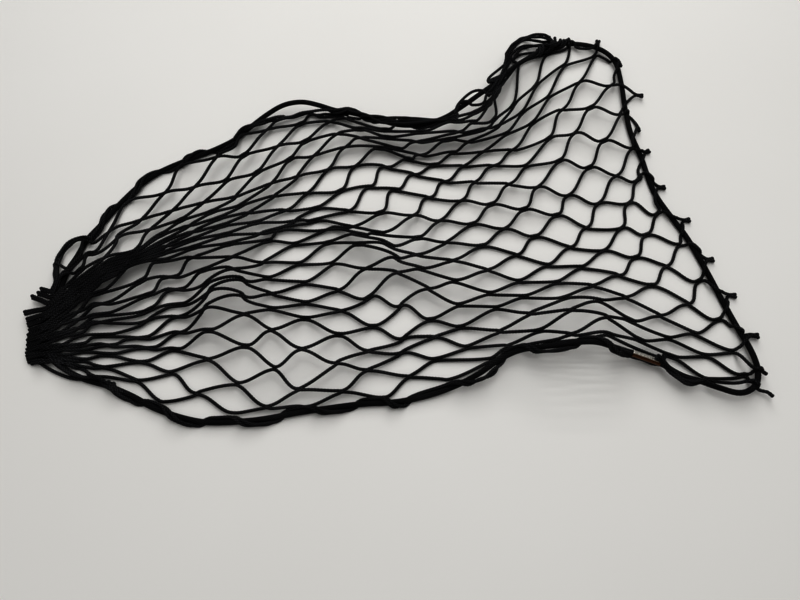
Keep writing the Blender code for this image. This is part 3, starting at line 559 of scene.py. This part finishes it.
# ------------------------------------------------------------ materials
class Nodes:
    """Short ways to lay out a material's nodes."""

    def __init__(self, name):
        self.mat = bpy.data.materials.new(name)
        self.mat.use_nodes = True
        self.tree = self.mat.node_tree
        self.shader = self.tree.nodes["Principled BSDF"]

    def new(self, kind, **values):
        node = self.tree.nodes.new(kind)
        for key, value in values.items():
            setattr(node, key, value)
        return node

    def link(self, a, b):
        self.tree.links.new(a, b)

    def math(self, what, a, b=None, clamp=False):
        node = self.new("ShaderNodeMath", operation=what, use_clamp=clamp)
        for slot, value in ((0, a), (1, b)):
            if value is None:
                continue
            if isinstance(value, (int, float)):
                node.inputs[slot].default_value = value
            else:
                self.link(value, node.inputs[slot])
        return node.outputs[0]

    def ramp(self, value, stops):
        node = self.new("ShaderNodeValToRGB")
        self.link(value, node.inputs["Fac"])
        while len(node.color_ramp.elements) < len(stops):
            node.color_ramp.elements.new(0.5)
        for element, (where, colour) in zip(node.color_ramp.elements, stops):
            element.position = where
            element.color = (*colour, 1)
        return node.outputs["Color"]

    def noise(self, scale, detail=3.0, rough=0.55, where=None):
        node = self.new("ShaderNodeTexNoise")
        node.inputs["Scale"].default_value = scale
        node.inputs["Detail"].default_value = detail
        node.inputs["Roughness"].default_value = rough
        if where is None:
            where = self.new("ShaderNodeTexCoord").outputs["Object"]
        self.link(where, node.inputs["Vector"])
        return node.outputs["Fac"]


def braid(name, dark, crown_highlight, plait, strands, roughness, sheen, bump):
    """Braided yarn: crossing strands of fine filaments, laid by the map that
    runs along and round each tube (mm along, share of a turn round)."""
    n = Nodes(name)
    where = n.new("ShaderNodeUVMap", uv_map="along")
    parts = n.new("ShaderNodeSeparateXYZ")
    n.link(where.outputs["UV"], parts.inputs[0])
    s = n.math("DIVIDE", parts.outputs["X"], plait / MM)
    a = n.math("MULTIPLY", parts.outputs["Y"], float(strands))
    one = n.math("ABSOLUTE", n.math("SINE", n.math("MULTIPLY", n.math("ADD", s, a), math.pi)))
    two = n.math(
        "ABSOLUTE", n.math("SINE", n.math("MULTIPLY", n.math("SUBTRACT", s, a), math.pi))
    )
    weave = n.math("MAXIMUM", one, two)
    pit = n.math("MULTIPLY", one, two)
    # filaments run along each strand
    fine = n.math(
        "SINE", n.math("MULTIPLY", n.math("ADD", n.math("MULTIPLY", s, 1.0), a), 26.0)
    )
    fuzz = n.noise(2600, 2.0, 0.6)
    patch = n.noise(38, 3.0, 0.5)
    # The plait's crowns set both the relief and a painted highlight in the colour.
    plait_relief_and_highlight = n.math("ADD", n.math("MULTIPLY", weave, 0.55), n.math("MULTIPLY", pit, 0.35))
    tone_and_highlight = n.math(
        "ADD",
        n.math("MULTIPLY", plait_relief_and_highlight, 0.55),
        n.math("ADD", n.math("MULTIPLY", fuzz, 0.28), n.math("MULTIPLY", patch, 0.25)),
    )
    # Painted highlight: the plait's crowns take the lighter colour, while the fuzz and patches add tone that differs
    # at random.
    faint_highlight = tuple(p + (q - p) * 0.12 for p, q in zip(dark, crown_highlight))
    colour = n.ramp(tone_and_highlight, ((0.25, dark), (0.62, faint_highlight), (0.76, crown_highlight)))
    n.link(colour, n.shader.inputs["Base Color"])
    rough = n.math("ADD", n.math("MULTIPLY", n.math("SUBTRACT", patch, 0.5), 0.25), roughness)
    n.link(n.math("ADD", rough, n.math("MULTIPLY", fuzz, 0.1), clamp=True), n.shader.inputs["Roughness"])
    height = n.math(
        "ADD",
        n.math("ADD", n.math("MULTIPLY", plait_relief_and_highlight, 1.0), n.math("MULTIPLY", fine, 0.05)),
        n.math("MULTIPLY", fuzz, 0.18),
    )
    rise = n.new("ShaderNodeBump")
    rise.inputs["Strength"].default_value = bump
    rise.inputs["Distance"].default_value = 0.35 * MM
    n.link(height, rise.inputs["Height"])
    n.link(rise.outputs["Normal"], n.shader.inputs["Normal"])
    n.shader.inputs["Specular IOR Level"].default_value = 0.05
    n.shader.inputs["Sheen Weight"].default_value = sheen
    n.shader.inputs["Sheen Roughness"].default_value = 0.45
    n.shader.inputs["Sheen Tint"].default_value = (0.75, 0.78, 0.85, 1)
    return n.mat


def plated(name):
    """Plated sleeve, laid by its map (mm along, share of a turn round):
    painted highlight on the upper side and painted shade in dark brown on the
    lower, with blotches at random, rubbed marks along it and dull pinched rings."""
    n = Nodes(name)
    where = n.new("ShaderNodeUVMap", uv_map="along")
    parts = n.new("ShaderNodeSeparateXYZ")
    n.link(where.outputs["UV"], parts.inputs[0])
    turn = n.math("MULTIPLY", parts.outputs["Y"], 2 * math.pi)
    # How far each side faces up: this sets the painted highlight on top and the painted shade below.
    painted_light_side = n.math("SINE", n.math("ADD", turn, math.radians(25)))
    place = n.new("ShaderNodeTexCoord").outputs["Object"]
    blot = n.noise(260, 4.0, 0.6, place)
    marks = n.noise(1500, 3.0, 0.6, place)
    painted_light_and_blot = n.math("ADD", n.math("MULTIPLY", painted_light_side, 1.5), n.math("MULTIPLY", n.math("SUBTRACT", blot, 0.5), 0.35))
    painted_light_and_blot = n.math("SUBTRACT", painted_light_and_blot, 0.42, clamp=True)
    # Painted highlight and shade: bright where the side faces up and dark brown where it faces down; the blotches
    # shift the boundary at random.
    colour = n.ramp(
        painted_light_and_blot,
        (
            (0.20, (0.10, 0.045, 0.02)),
            (0.45, (0.20, 0.10, 0.055)),
            (0.60, (0.75, 0.69, 0.60)),
            (0.90, (0.90, 0.88, 0.83)),
        ),
    )
    n.link(colour, n.shader.inputs["Base Color"])
    n.shader.inputs["Metallic"].default_value = 1.0
    n.link(n.math("ADD", n.math("MULTIPLY", marks, 0.22), 0.16), n.shader.inputs["Roughness"])
    rise = n.new("ShaderNodeBump")
    rise.inputs["Strength"].default_value = 0.25
    rise.inputs["Distance"].default_value = 0.08 * MM
    n.link(n.math("ADD", marks, blot), rise.inputs["Height"])
    n.link(rise.outputs["Normal"], n.shader.inputs["Normal"])
    return n.mat


def table_top():
    n = Nodes("table")
    blot = n.noise(2.2, 3.0, 0.5)
    fine = n.noise(900, 2.0, 0.5)
    colour = n.ramp(blot, ((0.3, (0.78, 0.772, 0.752)), (0.7, (0.80, 0.793, 0.775))))
    n.link(colour, n.shader.inputs["Base Color"])
    n.shader.inputs["Roughness"].default_value = 0.75
    n.shader.inputs["Specular IOR Level"].default_value = 0.25
    rise = n.new("ShaderNodeBump")
    rise.inputs["Strength"].default_value = 0.04
    rise.inputs["Distance"].default_value = 0.1 * MM
    n.link(fine, rise.inputs["Height"])
    n.link(rise.outputs["Normal"], n.shader.inputs["Normal"])
    return n.mat


# ------------------------------------------------------------ the cord's line
CORD_LINE = spline([at(x, y, z * MM) for x, y, z in CORD], 0.5 * MM)
CORD_LINE = evenly(smoothed(CORD_LINE, 60), 0.5 * MM)
CORD_LINE[:, 2] = np.maximum(CORD_LINE[:, 2], SHEATH / 2)
CORD_T, CORD_S, CORD_U = frames(CORD_LINE)


def seen(p):
    """Where the camera sees the points, in its frame."""
    d = np.atleast_2d(p) - EYE
    forward = d[:, 1] * COS - d[:, 2] * SIN
    up = d[:, 1] * SIN + d[:, 2] * COS
    return np.stack(
        [FRAME_W / 2 + FOCAL * d[:, 0] / forward, FRAME_H / 2 - FOCAL * up / forward], 1
    )


CORD_SEEN = seen(CORD_LINE)


def on_cord(px, py):
    """Index of the cord's point seen nearest px, py."""
    return int(np.argmin(((CORD_SEEN - (px, py)) ** 2).sum(axis=1)))


def clear_of_cord(points, radius=TWINE / 2):
    """Lifts a twine where it would run through the cord."""
    points = np.array(points, float)
    need = SHEATH / 2 + radius
    for k, p in enumerate(points):
        d = CORD_LINE - p
        plan = np.hypot(d[:, 0], d[:, 1])
        j = int(np.argmin(plan))
        if plan[j] < need:
            rise = math.sqrt(need * need - plan[j] ** 2)
            if -rise < p[2] - CORD_LINE[j, 2] < rise:
                points[k, 2] = CORD_LINE[j, 2] + rise
    return points


# ------------------------------------------------------------ the net's twines
U0, U1, V0, V1 = -3, 20, 0, 30
SEEN = {}
for row in KNOTS:
    v, spots = row[0], row[1:]
    u = U0 + (v + U0) % 2
    for spot in spots:
        SEEN[u, v] = spot
        u += 2
MID_HALF = 4.0  # half length of a knot's middle where it isn't listed
LAY = 0.26  # how far aside a twine lies in a knot, in twines
CROSS = 0.40  # how far above or below


def knot_at(u, v):
    """Centre, half middle and side (towards the front) of a knot."""
    x, y = SEEN[u, v]
    body = JOINTS.get(v, {}).get(u)
    if body is None or math.hypot(*body) < 3:
        left = [SEEN[k] for k in ((u - 1, v - 1), (u - 1, v + 1)) if k in SEEN] or [(x, y)]
        right = [SEEN[k] for k in ((u + 1, v - 1), (u + 1, v + 1)) if k in SEEN] or [(x, y)]
        dx = sum(p[0] for p in right) / len(right) - sum(p[0] for p in left) / len(left)
        dy = sum(p[1] for p in right) / len(right) - sum(p[1] for p in left) / len(left)
        far = max(1e-6, math.hypot(dx, dy))
        hx, hy = dx / far * MID_HALF, dy / far * MID_HALF
    else:
        hx, hy = body[0] / 2, body[1] / 2
    c = lying(x, y)
    half = (lying(x + hx, y + hy) - lying(x - hx, y - hy)) / 2
    side = unit(np.array((half[1], -half[0], 0)))
    front = at(x, y + 4, c[2]) - c
    if side @ front < 0 and abs(half[0]) > abs(half[1]) * 0.3:
        side = -side
    return c, half, side


KNOT = {key: knot_at(*key) for key in SEEN}


def over(u, v, i):
    """Which of a knot's two twines lies on top: +1 for this one, else -1."""
    top = (u * 7 + v * 13 + (u * v) % 5) % 4 < 2
    return 1 if top == (i == v) else -1


def pass_knot(u, v, i):
    """In, middle and out points of twine i at a knot, and its direction."""
    c, half, side = KNOT[u, v]
    way = 1 if i == v else -1
    t = unit(half)
    rise = np.array((0, 0, over(u, v, i) * CROSS * TWINE))
    off = side * way * LAY * TWINE
    spread = side * way * 0.2 * TWINE
    into = c - half + off + spread
    out = c + half + off + spread
    return into, c + off + rise, out, t, side * way


# ------------------------------------------------------------ at the cord
def cord_frame(j):
    """Point, direction, side away from the net and upward side of the cord."""
    j = min(max(int(round(j)), 0), len(CORD_LINE) - 1)
    t = CORD_T[j]
    away = unit(np.array((t[1], -t[0], 0.0)))
    up = np.cross(away, t)
    return CORD_LINE[j], t, away, up if up[2] > 0 else -up


def round_cord(j, turn_deg, reach=SHEATH / 2 + TWINE * 0.47):
    """A point beside the cord's line: 0 degrees is the side away from the net
    and 90 the top."""
    p, _, away, up = cord_frame(j)
    a = math.radians(turn_deg)
    return p + reach * (math.cos(a) * away + math.sin(a) * up)


def low(points, least=TWINE * 0.47):
    points = np.array(points, float)
    points[:, 2] = np.maximum(points[:, 2], least)
    return points


def whole(i):
    """The line of twine i through its knots, from the gathered end on."""
    line, previous = [], None
    for u in range(U0 + 1, U1):
        v = i if (u + i) % 2 == 0 else i + 1
        if (u, v) not in KNOT:
            continue
        into, mid, out, t, away = pass_knot(u, v, i)
        if previous is not None:
            p, tp, ap = previous
            chord = float(np.linalg.norm(into - p))
            lean = 0.85 * (into - p) / max(chord, 1e-6)
            line.extend(
                bezier(
                    p,
                    p + unit(tp + 0.1 * ap + lean) * 0.32 * chord,
                    into - unit(t - 0.1 * away + lean) * 0.32 * chord,
                    into,
                )[1:-1]
            )
        line.extend([into, mid, out])
        previous = (out, t, away)
    return line


ENDS = {row[0]: row[1:] for row in RIGHT_ENDS}
ROOTS = {row[0]: row[1:] for row in LEFT_ENDS}


def across_cord(px, py, above):
    """The point seen at px, py that lies on or under the cord there."""
    j = on_cord(px, py)
    z = CORD_LINE[j, 2] + (SHEATH / 2 + TWINE * 0.45) * (1 if above else -1)
    return at(px, py, max(z, TWINE * 0.4))


def right_end(i):
    """From the last knot over or under the cord to the cut end."""
    v = i if i % 2 == 0 else i + 1
    back, front, fork, tip = ENDS[v]
    way, spots = (1, front) if i == v else (-1, back)
    above = (v // 2 + (i == v)) % 2 == 0
    (ax, ay), (bx, by) = spots
    j = on_cord(bx, by)
    base = CORD_LINE[j, 2]
    rest = max(base - SHEATH / 2, 0) * 0.75
    cross = across_cord(bx, by, above)
    before = at(ax, ay, (cross[2] + rest + TWINE / 2) / 2)
    zf = rest + (2.6 if above else 1.4) * MM
    forked = at(*fork, zf)
    tipped = at(*tip, rest + 1.7 * MM)
    a = unit(tipped - forked)
    side = np.array((a[1], -a[0], 0.0))
    if (cross - forked) @ side < 0:
        side = -side
    return [
        before,
        cross,
        forked + side * 0.85 * MM,
        (forked + tipped) / 2 + side * 0.62 * TWINE / 2 + np.array((0, 0, 0.35 * MM * way)),
        tipped + side * 0.5 * TWINE,
    ]


def left_end(i):
    v = i if i % 2 else i + 1
    rx, ry, tx, ty, z = ROOTS[v]
    way = 1 if i == v else -1
    # the two twines of an end cross the cord side by side
    above = (v // 2) % 2 == 0
    jx, jy = rx + 3, ry + way * 1.0
    j = on_cord(jx, jy)
    over_z = CORD_LINE[j, 2] + SHEATH / 2 + TWINE * 0.45
    zr = over_z if above else max(z * MM, 2.2 * MM)
    root = at(rx, ry + way * 1.0, zr)
    mid = at((rx + tx) / 2, (ry + ty) / 2 + way * 1.1, (zr + z * MM) / 2)
    tip = at(tx + 0.8 * (way > 0), ty + way * 1.15, max(TWINE / 2, (z - 1) * MM))
    return [tip, mid, root]


def twine(i):
    line = whole(i)
    start = left_end(i)
    a, b = np.array(line[0]), np.array(line[2])
    lead = spline([*start, a, b], 0.5 * MM)
    near = int(np.argmin(np.linalg.norm(lead - a, axis=1)))
    line = list(lead[: near + 1]) + list(line[1:])
    p, q = np.array(line[-1]), np.array(line[-3])
    tail = spline([q, p, *right_end(i)], 0.5 * MM)
    near = int(np.argmin(np.linalg.norm(tail - p, axis=1)))
    line = line + list(tail[near + 1 :])
    line = evenly(line, TWINE_RING)
    line = smoothed(line, 3)
    line = clear_of_cord(line)
    line = smoothed(line, 2)
    return low(evenly(line, TWINE_RING))


def pair(axis, side, up, pitch, apart, start=0.0):
    """Two twines that lie against each other and cross now and then."""
    s = np.arange(len(axis)) * 0.6 * MM
    lines = []
    for half in (0, 1):
        a = start + 0.9 * np.sin(2 * math.pi * s / pitch) + math.pi * half
        off = (np.cos(a)[:, None] * side + np.sin(a)[:, None] * up) * apart
        lines.append(axis + off)
    return lines


def winding(row_path):
    """The two edge twines where they wind round the cord."""
    marks = np.array([on_cord(x, y) for x, y, _, _ in row_path], float)
    turn = np.array([p[2] for p in row_path], float)
    stand_off = np.array([p[3] for p in row_path], float)
    n = int(abs(marks[-1] - marks[0])) + 1
    want = np.linspace(0, 1, n)
    share = (marks - marks[0]) / (marks[-1] - marks[0])
    order = np.argsort(share)
    share, turn, stand_off = share[order], turn[order], stand_off[order]
    turns = smoothed(np.stack([np.interp(want, share, turn)] * 3, 1), 60)[:, 0]
    offs = smoothed(np.stack([np.interp(want, share, stand_off)] * 3, 1), 40)[:, 0]
    lines = []
    for half in (-1, 1):
        line = []
        for k, f in enumerate(want):
            j = marks[0] + (marks[-1] - marks[0]) * f
            way = 1 if marks[-1] > marks[0] else -1
            cross = math.sin(2 * math.pi * k * 0.5 / 31)
            spread = half * (15 + 7 * cross)
            reach = SHEATH / 2 + 0.48 * TWINE + offs[k] * MM * (0.55 + 0.45 * half * cross)
            line.append(round_cord(j + half * way * 2.0, turns[k] + spread, reach))
        line = smoothed(evenly(np.array(line), 0.6 * MM), 8)
        lines.append(low(evenly(line, TWINE_RING)))
    return lines


def stray(count, path):
    """The edge twines where they leave the cord."""
    axis = smoothed(spline([at(x, y, z * MM) for x, y, z in path], 0.6 * MM), 6)
    if count == 1:
        return [low(evenly(axis, TWINE_RING))]
    _, side, up = frames(axis)
    return [low(evenly(p, TWINE_RING)) for p in pair(axis, side, up, 34 * MM, 0.5 * TWINE, 0.5)]


def selvedge(row):
    """The edge twines, as a list of lines."""
    lines = []
    for r, path in WINDING:
        if r == row:
            lines += winding(path)
    for r, _, count, path in STRAYS:
        if r == row:
            lines += stray(count, path)
    return lines


# ------------------------------------------------------------ build
# The second colour of each braid is a painted highlight on the plait's crowns.
BLACK = braid("black_twine", (0.0006, 0.0006, 0.0008), (0.066, 0.066, 0.07), PLAIT, 4, 0.7, 0.015, 0.9)
COVER = braid("black_sheath", (0.0006, 0.0006, 0.0008), (0.034, 0.034, 0.036), SHEATH_PLAIT, 8, 0.62, 0.015, 0.8)
METAL = plated("plated_metal")

bands = (("net_back", -1, 6), ("net_mid_back", 7, 14), ("net_mid_front", 15, 22), ("net_front", 23, 30))
total = 0.0
for name, first, last in bands:
    tubes = Tubes()
    for i in range(first, last + 1):
        paths = selvedge(V0 if i < 0 else V1) if i in (V0 - 1, V1) else [twine(i)]
        for path in paths:
            tubes.add(path, TWINE / 2, 8, PLAIT, 0.1, ends=(1.15, 1.15))
    tubes.rows = last - first + 1
    obj = tubes.build(name, BLACK)
    co = np.empty(len(obj.data.vertices) * 3, np.float32)
    obj.data.vertices.foreach_get("co", co)
    co = co.reshape(-1, 3)
    co[:, 2] = np.maximum(co[:, 2], 0.02 * MM)
    obj.data.vertices.foreach_set("co", co.ravel())
    obj.data.update()
    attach(obj, "root")
    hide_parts("net")
    total += tubes.length
    print(name, "twine", round(tubes.length, 2), "m, faces", len(obj.data.polygons), "area", round(tubes.area, 4))

cord = Tubes()
first, last = CORD_LINE[0], CORD_LINE[-1]
middle = (first + last) / 2
line = np.concatenate([[middle + (first - last) * 0.01], CORD_LINE, [middle - (first - last) * 0.01]])
line = evenly(line, SHEATH_RING)
cord.add(line, SHEATH / 2, 16, SHEATH_PLAIT, 0.03)
cord_obj = cord.build("shock_cord", COVER)
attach(cord_obj, "root")
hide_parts("border_cord")
print("cord", round(cord.length, 3), "m, faces", len(cord_obj.data.polygons))

print("all twine", round(total, 2), "m")


# ------------------------------------------------------------ ferrule
def sleeve(name, centre, along, material):
    """Crimped metal sleeve: rolled lips, four pinched rings, hollow ends."""
    half, bore, outer = 12.6 * MM, 2.62 * MM, 3.0 * MM
    profile = [(-half + 2.4 * MM, bore), (-half + 0.2 * MM, bore), (-half, bore + 0.12 * MM)]
    profile += [(-half, outer - 0.22 * MM), (-half + 0.1 * MM, outer - 0.06 * MM), (-half + 0.3 * MM, outer)]
    for k in range(1, 80):
        s = -half + 0.3 * MM + (2 * half - 0.6 * MM) * k / 80
        pinch = sum(math.exp(-(((s - c * MM) / (0.85 * MM)) ** 2)) for c in (-8.6, -5.0, 5.0, 8.6))
        profile.append((s, outer - 0.16 * MM * pinch + 0.02 * MM * math.sin(s / MM * 1.7)))
    profile += [(half - 0.3 * MM, outer), (half - 0.1 * MM, outer - 0.06 * MM), (half, outer - 0.22 * MM)]
    profile += [(half, bore + 0.12 * MM), (half - 0.2 * MM, bore), (half - 2.4 * MM, bore)]
    t = unit(np.array(along, float))
    side = unit(np.cross(t, (0, 0, 1)))
    up = np.cross(side, t)
    sides = 56
    verts, faces, uvs = [], [], []
    for s, r in profile:
        for q in range(sides):
            a = 2 * math.pi * q / sides
            flat = 1 - 0.012 * math.cos(2 * a)
            verts.append(centre + t * s + r * flat * (math.cos(a) * side + math.sin(a) * up))
    for k in range(len(profile) - 1):
        for q in range(sides):
            w = (q + 1) % sides
            faces.append((k * sides + q, k * sides + w, (k + 1) * sides + w, (k + 1) * sides + q))
            s0, s1 = profile[k][0] / MM, profile[k + 1][0] / MM
            uvs += [(s0, q / sides), (s0, (q + 1) / sides), (s1, (q + 1) / sides), (s1, q / sides)]
    mesh = bpy.data.meshes.new(name)
    mesh.from_pydata([tuple(p) for p in verts], [], faces)
    layer = mesh.uv_layers.new(name="along")
    layer.data.foreach_set("uv", np.array(uvs, np.float32).ravel())
    mesh.polygons.foreach_set("use_smooth", np.ones(len(faces), bool))
    mesh.materials.append(material)
    obj = bpy.data.objects.new(name, mesh)
    bpy.context.scene.collection.objects.link(obj)
    return obj


ferrule = sleeve("ferrule_sleeve", middle, last - first, METAL)
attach(ferrule, "root")
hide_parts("ferrule")

# ------------------------------------------------------------ table and light
ground = bpy.data.meshes.new("table")
ground.from_pydata([(-4, -4, 0), (4, -4, 0), (4, 4, 0), (-4, 4, 0)], [], [(0, 1, 2, 3)])
table = bpy.data.objects.new("table", ground)
bpy.context.scene.collection.objects.link(table)
ground.materials.append(table_top())


def area_light(name, place, target, size, power, colour=(1, 1, 1)):
    data = bpy.data.lights.new(name, "AREA")
    data.shape = "RECTANGLE"
    data.size, data.size_y = size
    data.energy = power
    data.color = colour
    obj = bpy.data.objects.new(name, data)
    bpy.context.scene.collection.objects.link(obj)
    obj.location = place
    aim = Vector(target) - Vector(place)
    obj.rotation_euler = aim.to_track_quat("-Z", "Y").to_euler()
    return obj


# long lamps side by side behind the table, over a soft fill
LAMPS = (
    # height angle in degrees, power
    (78, 3.1), (68, 3.1), (59, 3.2), (51, 3.3), (43, 3.4), (36, 3.4), (30, 3.4), (25, 3.2),
)
for k, (angle, power) in enumerate(LAMPS):
    a = math.radians(angle)
    place = (0.06, 2.05 * math.cos(a), 2.05 * math.sin(a))
    area_light(f"lamp_{k}", place, (0.02, 0.0, 0), (1.3, 0.014), power)
area_light("soft_top", (0.04, -0.14, 1.3), (0.02, -0.12, 0), (1.2, 1.1), 6.4)

world = bpy.context.scene.world or bpy.data.worlds.new("world")
bpy.context.scene.world = world
world.use_nodes = True
sky = world.node_tree.nodes["Background"]
sky.inputs["Color"].default_value = (1.0, 0.99, 0.97, 1)
sky.inputs["Strength"].default_value = 0.30

data = bpy.data.cameras.new("camera")
data.sensor_width = 36
data.lens = 18 / math.tan(FIELD / 2)
data.clip_start, data.clip_end = 0.01, 20
camera = bpy.data.objects.new("camera", data)
bpy.context.scene.collection.objects.link(camera)
camera.location = EYE
camera.rotation_euler = (math.pi / 2 - ELEVATION, 0, 0)
bpy.context.scene.camera = camera
bpy.context.scene.view_settings.view_transform = "Standard"
bpy.context.scene.view_settings.gamma = 0.64
